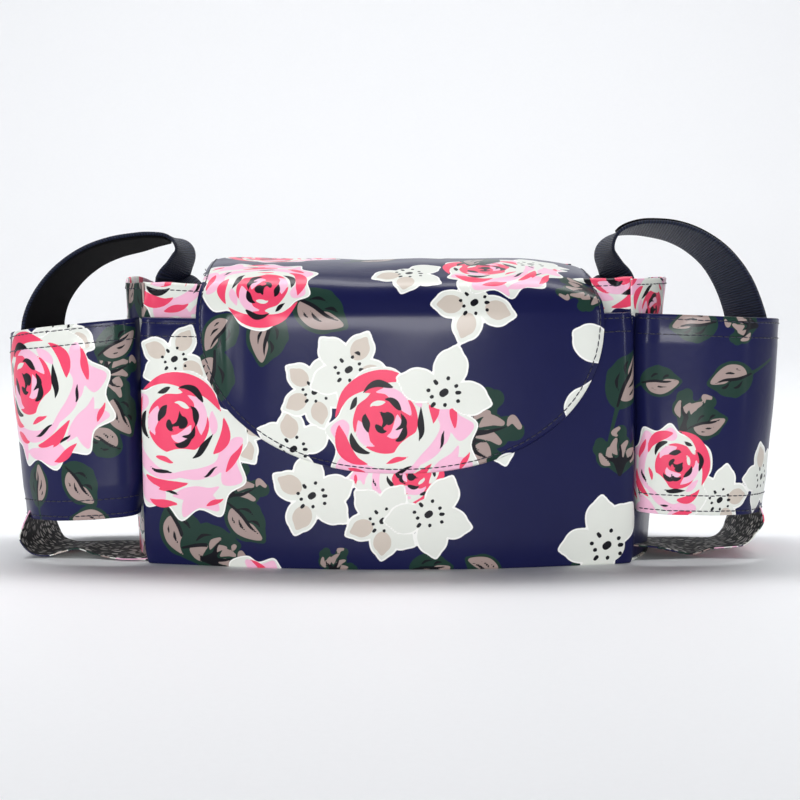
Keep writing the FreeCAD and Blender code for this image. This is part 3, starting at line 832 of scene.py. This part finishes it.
LEFT_GUSSET = Wall(
    [(-111.6, 49.4), (-116.5, 30), (-118.4, 8), (-115.6, -14), (-109.6, -34.6)],
    [(-112.2, 48.6), (-119.4, 32), (-124.4, 8), (-120.4, -16), (-111, -33.6)],
    [1] * 3, [119.8, 124.4, 124.2, 122.8, 123.4], gusset_swell)
RIGHT_GUSSET = Wall(
    [(105.6, -34.6), (113.2, -14), (117.4, 8), (116.2, 30), (111.6, 49.4)],
    [(105.0, -33.6), (117.6, -20), (125.2, 5), (121.2, 31), (112.2, 48.6)],
    [1] * 3, [125.2, 125.0, 124.8, 124.2, 122.2], gusset_swell)


def cup_swell(u, v):
    """A bottle pocket's slack between its two stitched hems."""
    slack = np.clip(v / 14, 0, 1) * np.clip((88 - v) / 14, 0, 1)
    full = slack * (0.9 + 1.1 * ripple(u, v * 0.5, 46, 5))
    return full + 0.35 * np.sin(u / 3.1) * np.exp(-(v / 5) ** 2) + \
        0.25 * np.sin(u / 4.3) * np.exp(-((87 - v) / 5) ** 2)


CUP_LOW = [(-112, 41.4), (-123, 41.6), (-136, 40.6), (-149, 36.4), (-160, 28.5), (-166.4, 17), (-168, 3),
           (-167, -12), (-162.2, -26), (-153, -36.2), (-140, -41), (-127, -41.9), (-119.4, -40.6), (-114.8, -36.2),
           (-112.8, -30.6)]
CUP_HIGH = [(-112.6, 42), (-124, 43.2), (-139, 43.2), (-154, 40.4), (-166, 33), (-172.8, 20), (-174.4, 3),
            (-173, -14), (-167.4, -29.6), (-156, -40), (-141, -43.4), (-127.6, -43.2), (-119.6, -41.6),
            (-115, -37), (-113, -30.8)]
LEFT_CUP = Wall(CUP_LOW, CUP_HIGH, [19, 16, 13.6, 13, 13.4, 15.6, 17.6, 18.6, 19.4, 20.6, 21.6],
                [101.4, 100.4, 99.0, 98.2, 98.0, 98.8, 100.8, 103.2, 105.4, 107.2, 108.2], cup_swell)
RIGHT_CUP = Wall(
    [(-x - 5.6 * np.clip((126 + x) / 13, 0, 1), y) for x, y in CUP_LOW][::-1],
    [(-x - 7.0 * np.clip((126 + x) / 13, 0, 1), y) for x, y in CUP_HIGH][::-1],
    [22.6, 22.2, 21.8, 21.2, 20.4, 19.2, 18, 17.4, 17.6, 18.6, 20],
    [110.2, 110.0, 109.2, 108.2, 107.2, 105.8, 104.6, 103.6, 103.0, 103, 103.6], cup_swell)


def flap_edge(x):
    """How low the flap's rounded edge runs at x from its middle."""
    side = np.clip(np.abs(x) / FLAP_HALF, 0, 1)
    return FLAP_SIDE - (FLAP_SIDE - FLAP_LOW) * (1 - side ** FLAP_POWER) ** (1 / FLAP_POWER)


def flap_inset(u, h):
    """How far inside the flap's edge a place lies."""
    drop = np.maximum(FLAP_SIDE - h, 0) / (FLAP_SIDE - FLAP_LOW)
    f = ((np.abs(u) / FLAP_HALF) ** FLAP_POWER + drop ** FLAP_POWER) ** (1 / FLAP_POWER)
    return np.maximum(1 - f, 0) * 72


def flap_surface(u, h):
    """The flap's outer face: u from its middle, h the height it would have if it were not folded."""
    x = u + FLAP_X
    front = -62.8 + x ** 2 / 656
    line, at = FLAP_PROFILE
    y = np.interp(h - FLAP_LOW, at, line[:, 0])
    z = np.interp(h - FLAP_LOW, at, line[:, 1])
    top = np.clip((h - 108) / 26, 0, 1)
    top = top * top * (3 - 2 * top)
    y = front + (y + 62.8) * (FLAP_BACK_Y - front) / (FLAP_BACK_Y + 62.8)
    side = np.clip(np.abs(u) / FLAP_HALF, 0, 1)
    back = np.clip((h - FOLD_END) / (FLAP_END - FOLD_END), 0, 1)
    fall = np.clip((u - 56) / 32, 0, 1) ** 2
    x = x - u * 0.028 * top
    z = z - top * (1.6 * side ** 4 * (u > 0) + 3.6 * fall * (1 - back ** 3))
    inset = flap_inset(u, h)
    y = y + 1.9 * np.exp(-inset / 2.4) * (1 - top)
    z = z - 1.9 * np.exp(-inset / 2.4) * top
    crease = soft_bump(u, h, (-75, 88), (3.6, 26), 1.3) - soft_bump(u, h, (-67, 90), (6, 30), 0.8)
    crease = crease + 0.5 * ripple(u, h * 0.7, 85, 6) - soft_bump(u, h, (-20, 116), (40, 6), 0.4)
    y = y - crease * (1 - top)
    z = z + 0.8 * ripple(u, h, 60, 8) * top * (1 - back ** 6)
    return np.stack([x + 0 * y, y, z], -1)


def flap_flat(columns, rows, inset=0.0):
    """The flap's flat places, denser towards its sides so that its rounded edge stays smooth."""
    a = np.linspace(-1, 1, columns)
    x = (FLAP_HALF - inset) * (0.25 * a + 0.75 * np.sin(a * math.pi / 2))
    low = flap_edge(x * FLAP_HALF / (FLAP_HALF - inset)) + inset
    t = np.linspace(0, 1, rows)[:, None]
    return np.broadcast_to(x, (rows, columns)).copy(), low + t * (FLAP_END - inset - low)


class Inner:
    """The inner side of a surface, a little behind it, facing the other way."""

    def __init__(self, surface, depth, length):
        self.surface, self.depth, self.length = surface, depth, length

    def __call__(self, u, v):
        u = self.length - u
        return self.surface(u, v) - normals(self.surface, u, v) * self.depth


class Ribbon:
    """A strip between two edges: u along it, v from its first edge to its second."""

    def __init__(self, first, second, width):
        self.edges = [smooth_line(edge, False, 30) for edge in (first, second)]
        self.length = float(np.mean([np.linalg.norm(np.diff(e, axis=0), axis=1).sum() for e in self.edges]))
        self.width = width

    def __call__(self, u, v):
        f, t = np.clip(u / self.length, 0, 1), (v / self.width)[..., None]
        sides = [np.stack([np.interp(f, np.linspace(0, 1, len(e)), e[:, k]) for k in range(3)], -1)
                 for e in self.edges]
        return sides[0] * (1 - t) + sides[1] * t


LEFT_SLING = Ribbon(
    [(-164.5, 24, 17), (-161.6, 26, 9), (-157, 20, 2.4), (-150, 12, 0.9), (-141, 8, 1.3), (-130, 12, 1.0),
     (-120, 12, 0.9), (-111.5, 8, 0.9)],
    [(-164.5, -23, 21), (-167.6, -25, 13.4), (-168.4, -26, 7.6), (-163.4, -26, 1.9), (-156, -26, 0.7),
     (-149.4, -26, 2.4), (-142.6, -26, 3.9), (-134, -28, 1.6), (-122, -34, 0.6), (-109.5, -35, 0.9)], 50)
RIGHT_SLING = Ribbon(
    [(165, -22, 23), (166.4, -24, 16.5), (163, -25, 11), (157.8, -26, 5.8), (150, -26, 4.6), (142, -26, 3.9),
     (134.4, -27, 1.6), (126, -28, 3), (118, -29, 4.9), (107, -31, 6.2)],
    [(163, 27, 20), (159, 28, 11), (156.4, 27, 4.6), (151, 24, 1.0), (142, 22, 0.9), (133, 22, 1.1),
     (124, 22, 0.9), (113, 22, 0.9)], 50)

# A strap's route on the left: x, y, z of its middle, and its tilt in degrees.
STRAP_ROOT = [(-99.5, 51.2, 84, -90), (-99.5, 51.2, 94, -90), (-99.5, 51.2, 102, -90), (-100.4, 53.2, 108.5, -84),
              (-104, 57.8, 115, -60), (-108.6, 61.8, 121.5, -35), (-105.2, 58.6, 128, -24), (-101.6, 53, 135, -17)]
LEFT_ARCH = [(-101.6, 53, 135, -17), (-102.8, 49.5, 139.8, -7), (-107.8, 46, 142.8, 5), (-115, 43.8, 142.6, 12),
             (-122.4, 42.6, 141.2, 17), (-134.1, 42, 138.6, 20), (-145.4, 42, 133.8, 23), (-155.7, 42, 126, 27),
             (-163.4, 42, 116.3, 32)]
RIGHT_ARCH = [(-101.6, 53, 135, -17), (-102.6, 49.5, 140.6, -7), (-107.2, 46, 145.3, 5), (-114.5, 43.8, 147.3, 12),
              (-122.4, 42.6, 147.3, 16), (-133.2, 42, 145.5, 20), (-143.8, 42, 140.8, 24), (-154, 42, 132.6, 29),
              (-162.2, 42, 120.6, 35)]
STRAP_FALL = [(-167.6, 42.4, 106.5, 39), (-168.6, 42.8, 98, 46), (-166.6, 43.6, 88, 62), (-162.6, 45, 78, 84),
              (-160.2, 45.5, 72, 90)]
STRAP_TAIL = [(-160.2, 45.5, 72, 90), (-155.6, 45.5, 60, 90), (-151, 45.5, 48, 90)]
WEB, TAPE, STRAP_HALF = 1.6, 1.2, 12.5  # the webbing's and the tape's thickness, and half the webbing's width
SPAN_STEPS = 8  # points between two places of a route


class Strap:
    """A hanging strap's line from its root to its end, with the places where its lengths meet."""

    def __init__(self, arch, right):
        route, self.cuts = [], []
        for part in (STRAP_ROOT, arch + STRAP_FALL, STRAP_TAIL):
            route += part[1:] if route else part
            self.cuts.append((len(route) - 1) * SPAN_STEPS)
        line = smooth_line(route, False, SPAN_STEPS)
        along = np.gradient(line[:, :3], axis=0)
        along[:, 1] = 0
        along /= np.linalg.norm(along, axis=1, keepdims=True)
        turn = np.radians(line[:, 3:])
        outward = np.stack([along[:, 2], 0 * along[:, 0], -along[:, 0]], -1)
        front = np.array([0.0, -1, 0])
        self.middle = line[:, :3]
        self.across = outward * np.sin(turn) + front * np.cos(turn)
        self.out = outward * np.cos(turn) - front * np.sin(turn)
        self.along = np.concatenate([[0], np.cumsum(np.linalg.norm(np.diff(self.middle, axis=0), axis=1))])
        self.flip = -1 if right else 1

    def band(self, name, start, end, low, high, half, finish):
        """A flat band between two places of the line, from low to high along its outer side."""
        s = np.linspace(self.along[start], self.along[end], max(int((self.along[end] - self.along[start]) / 1.2), 6))
        pick = [np.stack([np.interp(s, self.along, values[:, k]) for k in range(3)], -1)
                for values in (self.middle, self.across, self.out)]
        middle_n, half_n = (low + high) / 2, (high - low) / 2
        face, edge = np.linspace(-1, 1, 14) * (half - 0.3), half_n * 0.6
        ring = [(a, half_n) for a in face] + [(half, edge), (half, -edge)]
        ring += [(-a, -half_n) for a in face] + [(-half, -edge), (-half, edge)]
        places = np.stack([pick[0] + pick[1] * a + pick[2] * (middle_n + n) for a, n in ring], 1)
        places[..., 0] *= self.flip
        rows, columns = places.shape[:2]
        faces = grid_faces(rows, columns, closed=True)
        if self.flip < 0:
            faces = faces[:, ::-1]
        caps = [list(range(columns))[::-self.flip], list(range((rows - 1) * columns, rows * columns))[::self.flip]]
        piece = mesh_piece(name, places.reshape(-1, 3), [list(f) for f in faces] + caps, finish)
        write_number(piece, "along", np.repeat(s, columns))
        write_number(piece, "across", np.tile([a for a, n in ring], rows))
        return piece


# ---- the pouch ---------------------------------------------------------------------------------------
def wall_piece(name, wall, thick, printed, *nodes):
    """A printed panel of the pouch."""
    u, v = flat_grid(wall.length, wall.height, PRINT_STEP)
    return hold(cloth(name, wall, u, v, thick, LAMINATE, printed), "pouch", "printed_laminate", *nodes)


def lining_piece(name, wall, depth, drop, node):
    """Lining cloth behind a wall, its edge a little below the wall's."""
    inner = Inner(wall, depth, wall.length)
    u, v = flat_grid(wall.length, wall.height - drop, PLAIN_STEP)
    return hold(cloth(name, inner, u, v, THIN, LINING, turned=1.0), "pouch", "lining", node)


def make_pouch():
    """The pouch's four walls with their stitches, its base and its lining."""
    made = {}
    made["front"] = wall_piece("front_wall", FRONT, PAD, print_front, "front_panel", "front_foam")
    made["back"] = wall_piece("back_wall", BACK, PAD, scattered(BACK.length, WALL_HIGH, 2), "back_panel",
                              "back_foam")
    made["left"] = wall_piece("left_gusset_cloth", LEFT_GUSSET, CLOTH, print_left_gusset, "left_gusset")
    made["right"] = wall_piece("right_gusset_cloth", RIGHT_GUSSET, CLOTH, print_right_gusset, "right_gusset")
    for key, wall in (("front", FRONT), ("back", BACK), ("left", LEFT_GUSSET), ("right", RIGHT_GUSSET)):
        sew_on(made[key], hem_rows(wall, wall.length, (wall.height - 2.2,)), "pouch")

    def base_surface(u, v):
        """The base, its front edge curved like the front wall's foot."""
        s, t = u / BASE_WIDE * 2 - 1, v / BASE_DEEP
        front = -55.4 + 19 * s ** 2 + 3.5 * s ** 8
        y = 49.6 + (front - 49.6) * t
        half = 110.5 + 8 * np.sin(math.pi * (0.95 - 0.85 * t))
        x = s * half - 1.5 * t - 4.6 * s * (s > 0) * t ** 4
        return np.stack([x, y, 0.1 + 0.25 * (1 + ripple(u, v, 90, 9)) + 0 * u], -1)

    u, v = flat_grid(BASE_WIDE, BASE_DEEP, PRINT_STEP * 1.3)
    printed = scattered(BASE_WIDE, BASE_DEEP, 5)
    base = hold(cloth("base_cloth", base_surface, u, v, CLOTH * 0.9, LAMINATE, printed), "pouch",
                "printed_laminate", "bottom_panel", "base_board")

    # the pouch's lining: four walls and a floor
    loop = [(-104.8, 44.4), (-60, 45.2), (0, 45.4), (60, 45.2), (104.8, 44.4), (110.6, 30), (112.6, 8), (109.4, -14),
            (101.6, -29.6), (80, -36.2), (40, -40.6), (0, -42), (-40, -40.6), (-80, -36.4), (-105.6, -29.6),
            (-112.6, -14), (-114.2, 8), (-111.6, 30)]
    ring = smooth_line(loop, True, 8)
    levels = np.concatenate([[4.4] * 6, np.linspace(8, 119.6, 34)])
    shrink = np.concatenate([[0.0, 0.25, 0.5, 0.7, 0.85, 0.96], np.ones(34)])
    centre = ring.mean(0)
    places = [np.column_stack([centre + (ring - centre) * k, np.full(len(ring), z)]) for z, k in zip(levels, shrink)]
    tub = np.vstack(places)
    tub = hold(mesh_piece("pouch_lining", tub, grid_faces(len(levels), len(ring), closed=True), LINING), "pouch",
               "lining", "lining_tub")


def hem_rows(surface, length, heights, start=3.0, stop=3.0):
    """Straight rows of stitches along a panel at several heights."""
    u = np.linspace(start, length - stop, 60)
    return [stitches(surface, np.column_stack([u, np.full(60, v)])) for v in heights]


def sew_on(piece, rows, body):
    """Stitches that belong to a piece, joined into one."""
    thread = sew(piece.name + "_stitches", rows, THREAD)
    if body:
        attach(thread, body)
    return thread


def make_front_pocket():
    """The fuller layer in front of the pouch, with its double hem and its lining."""
    panel = wall_piece("front_pocket", POCKET, 2.2, print_pocket, "front_pocket_panel", "front_pocket_foam",
                       "pocket_magnet")
    sew_on(panel, hem_rows(POCKET, POCKET.length, (POCKET.height - 1.6, POCKET.height - 7.4), 5, 5), "pouch")
    inner = lining_piece("front_pocket_inner", POCKET, 2.6, 1.5, "front_pocket_lining")


def make_flap():
    """The flap with its stitches, its lining and the strip that joins it to the back wall."""
    u, h = flap_flat(int(248 / PRINT_STEP), int(196 / PRINT_STEP))
    flap = cloth("flap", flap_surface, u, h, 2.6, LAMINATE, print_flap, turned=4.0)
    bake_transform(flap)
    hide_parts("flap_top_laminate", "flap_top_foam", "flap_front_laminate", "flap_front_foam", "flap_magnet")

    a = np.linspace(-0.985, 0.985, 500)
    half = FLAP_HALF - FLAP_HEM
    x = half * np.sin(a * math.pi / 2)
    low = flap_edge(x * FLAP_HALF / half) + FLAP_HEM
    edge = np.vstack([np.column_stack([np.full(60, -half), np.linspace(FLAP_END - 3, low[0], 60)]),
                      np.column_stack([x, low]),
                      np.column_stack([np.full(60, half), np.linspace(low[-1], FLAP_END - 3, 60)])])
    thread = sew_on(flap, [stitches(flap_surface, edge)], None)
    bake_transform(thread)

    # the thread's loose end, knotted at the flap's back corner
    t = np.linspace(0, 1, 26)[:, None]
    corner = flap_surface(np.array([-FLAP_HALF + 1.0]), np.array([134.0]))[0]
    loop = corner + np.hstack([1.1 * np.cos(9.5 * t) * (1.1 - t), 0.7 * np.sin(9.5 * t), 0.2 + 3.8 * t])
    knot = sew("flap_thread_end", [((loop[1:] + loop[:-1]) / 2, np.diff(loop, axis=0) * 1.2,
                                    np.tile([0.0, -1.0, 0.0], (25, 1)), 0.24)], THREAD)
    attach(knot, "flap_top")

    def under(u, h):
        return flap_surface(-u, h) - normals(flap_surface, -u, h) * 2.7

    u, h = flap_flat(120, 96, inset=0.9)
    lining = cloth("flap_inner", under, u, h, THIN, LINING, turned=1.0)
    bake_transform(lining)
    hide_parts("flap_top_lining", "flap_front_lining")

    def strip(u, v):
        """The strip that joins the flap to the back wall, over the seam."""
        path = smooth_line([(51.3, 108), (51.3, 118), (51.2, 124), (50.8, 127.8), (48.6, 129.6), (42.4, 130.5)],
                           False, 12)
        f = v / STRIP_HIGH
        at = np.linspace(0, 1, len(path))
        return np.stack([STRIP_WIDE / 2 - u + 0 * v, np.interp(f, at, path[:, 0]), np.interp(f, at, path[:, 1])], -1)

    u, v = flat_grid(STRIP_WIDE, STRIP_HIGH, PRINT_STEP)
    printed = scattered(STRIP_WIDE, STRIP_HIGH, 6)
    hinge = cloth("flap_back_strip", strip, u, v, 0.9, LAMINATE, printed, turned=1.0)
    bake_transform(hinge)
    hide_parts("flap_seam_strip")


def make_side(side):
    """A bottle pocket, its sling and its patch."""
    left = side == "left"
    wall = LEFT_CUP if left else RIGHT_CUP
    sling = LEFT_SLING if left else RIGHT_SLING
    printed, sling_print = print_left_cup if left else print_right_cup, scattered(90, 50, 7 if left else 8, 30)
    cup = wall_piece(f"{side}_bottle_pocket", wall, CLOTH, printed, f"{side}_cup_panel")
    sew_on(cup, hem_rows(wall, wall.length, (1.6, 8.4, wall.height - 1.8, wall.height - 8.4), 5, 5), "pouch")
    inner = lining_piece(f"{side}_bottle_pocket_inner", wall, 1.4, 1.2, f"{side}_cup_lining")
    u, v = flat_grid(sling.length, sling.width, PRINT_STEP)
    under = hold(cloth(f"{side}_sling_cloth", sling, u, v, 0.7, LAMINATE, sling_print, turned=1.0), "pouch",
                 "printed_laminate", f"{side}_sling")
    sew_on(under, hem_rows(sling, sling.length, (1.6, sling.width - 1.6), 2, 4), "pouch")
    inside = Inner(sling, 0.9, sling.length)
    u, v = flat_grid(sling.length, sling.width, 1.5)
    over = hold(cloth(f"{side}_sling_inner", inside, u, v, THIN, LINING, turned=0.8), "pouch", "lining",
                f"{side}_sling_lining")

    def face(u, v):
        """The soft patch that the strap's end fastens to, on the bottle pocket's back."""
        x = (-138 if left else 164) - u
        y = 43.6 + 0.2 * ripple(u, v, 12, 11)
        return np.stack([x + 0 * y, y, 44 + v + 0 * y], -1)

    u, v = flat_grid(PATCH_WIDE, PATCH_HIGH, 1.0)
    patch = hold(cloth(f"{side}_patch", face, u, v, 1.2, FUZZ, turned=0.5), "pouch", "fuzzy_tape",
                 f"{side}_cup_patch")


def make_strap(side):
    """A hanging strap: ribbed webbing from its root to its turned end, fuzzy tape on one face, and the
    hooked piece at its end."""
    right = side == "right"
    strap = Strap(RIGHT_ARCH if right else LEFT_ARCH, right)
    root_end, tail_start, end = strap.cuts
    half = WEB / 2
    tape = (half, half + TAPE) if right else (-half - TAPE, -half)
    web = strap.band(f"{side}_strap_webbing", 0, tail_start, -half, half, STRAP_HALF, WEBBING)
    fuzz = strap.band(f"{side}_strap_fuzz", root_end + 16, tail_start - 8, *tape, STRAP_HALF - 1.0, FUZZ)
    tail = strap.band(f"{side}_strap_end", tail_start, end, -half, half, STRAP_HALF, WEBBING)
    hook = strap.band(f"{side}_hook_tab", tail_start + 5, end - 1, -half - 0.9, -half, STRAP_HALF - 1.2, FUZZ)
    for piece, nodes in ((web, (f"{side}_strap_root", f"{side}_strap_arch")), (fuzz, (f"{side}_strap_tape",))):
        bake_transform(piece)
        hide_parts(*nodes)
    for piece, node in ((tail, f"{side}_strap_tail"), (hook, f"{side}_strap_hook")):
        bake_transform(piece)
        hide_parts(node)


# ---- everything --------------------------------------------------------------------------------------
make_pouch()
make_front_pocket()
make_flap()
for side in ("left", "right"):
    make_side(side)
    make_strap(side)


# ---- studio --------------------------------------------------------------------------------------------
def make_sweep():
    """A pale floor that curves up into a wall behind the bag."""
    profile = smooth_line([(-2600, 0), (300, 0), (900, 0), (1300, 60), (1550, 350), (1620, 900), (1620, 2600)],
                          False, 10)
    x = np.linspace(-3200, 3200, 9)
    places = np.array([[(a, y, z) for a in x] for y, z in profile])
    places[..., 2] = np.maximum(places[..., 2], 0)
    sweep = mesh_piece("studio_sweep", places.reshape(-1, 3), grid_faces(len(profile), len(x)), studio_paper())


def lamp(name, at, aim, wide, high, power, tone=(1, 1, 1)):
    """A rectangular soft box at a place, aimed at another."""
    data = bpy.data.lights.new(name, "AREA")
    data.shape, data.size, data.size_y, data.energy, data.color = "RECTANGLE", wide, high, power, tone
    light = bpy.data.objects.new(name, data)
    light.location = at
    light.rotation_euler = (Vector(aim) - Vector(at)).to_track_quat("-Z", "Y").to_euler()
    bpy.context.scene.collection.objects.link(light)


def light_studio():
    lamp("overhead_box", (0.0, 0.36, 1.30), (0, 0.0, 0.05), 1.9, 0.34, 19)
    lamp("left_box", (-1.0, -0.62, 0.27), (-0.05, 0, 0.07), 0.06, 0.5, 2.2, (0.96, 0.98, 1))
    lamp("right_box", (1.15, -0.65, 0.27), (0.05, 0, 0.07), 0.06, 0.5, 1.7, (0.96, 0.98, 1))
    lamp("front_fill", (-0.2, -2.4, 0.19), (0, 0, 0.06), 1.8, 0.24, 34)
    lamp("backdrop_wash", (0, 0.9, 1.6), (0, 1.7, 0.2), 3.0, 0.8, 12.5)
    world = bpy.data.worlds.new("studio_air")
    world.use_nodes = True
    world.node_tree.nodes["Background"].inputs[0].default_value = (0.93, 0.95, 1, 1)
    world.node_tree.nodes["Background"].inputs[1].default_value = 0.08
    bpy.context.scene.world = world
    bpy.context.scene.view_settings.view_transform = "Standard"


def place_camera():
    data = bpy.data.cameras.new("camera")
    data.lens, data.sensor_width = 88.97, 36.0
    camera = bpy.data.objects.new("camera", data)
    camera.location = (0.0025, -0.905, 0.150)
    camera.rotation_euler = (math.radians(84.88), 0, 0)
    bpy.context.scene.collection.objects.link(camera)
    bpy.context.scene.camera = camera


make_sweep()
light_studio()
place_camera()
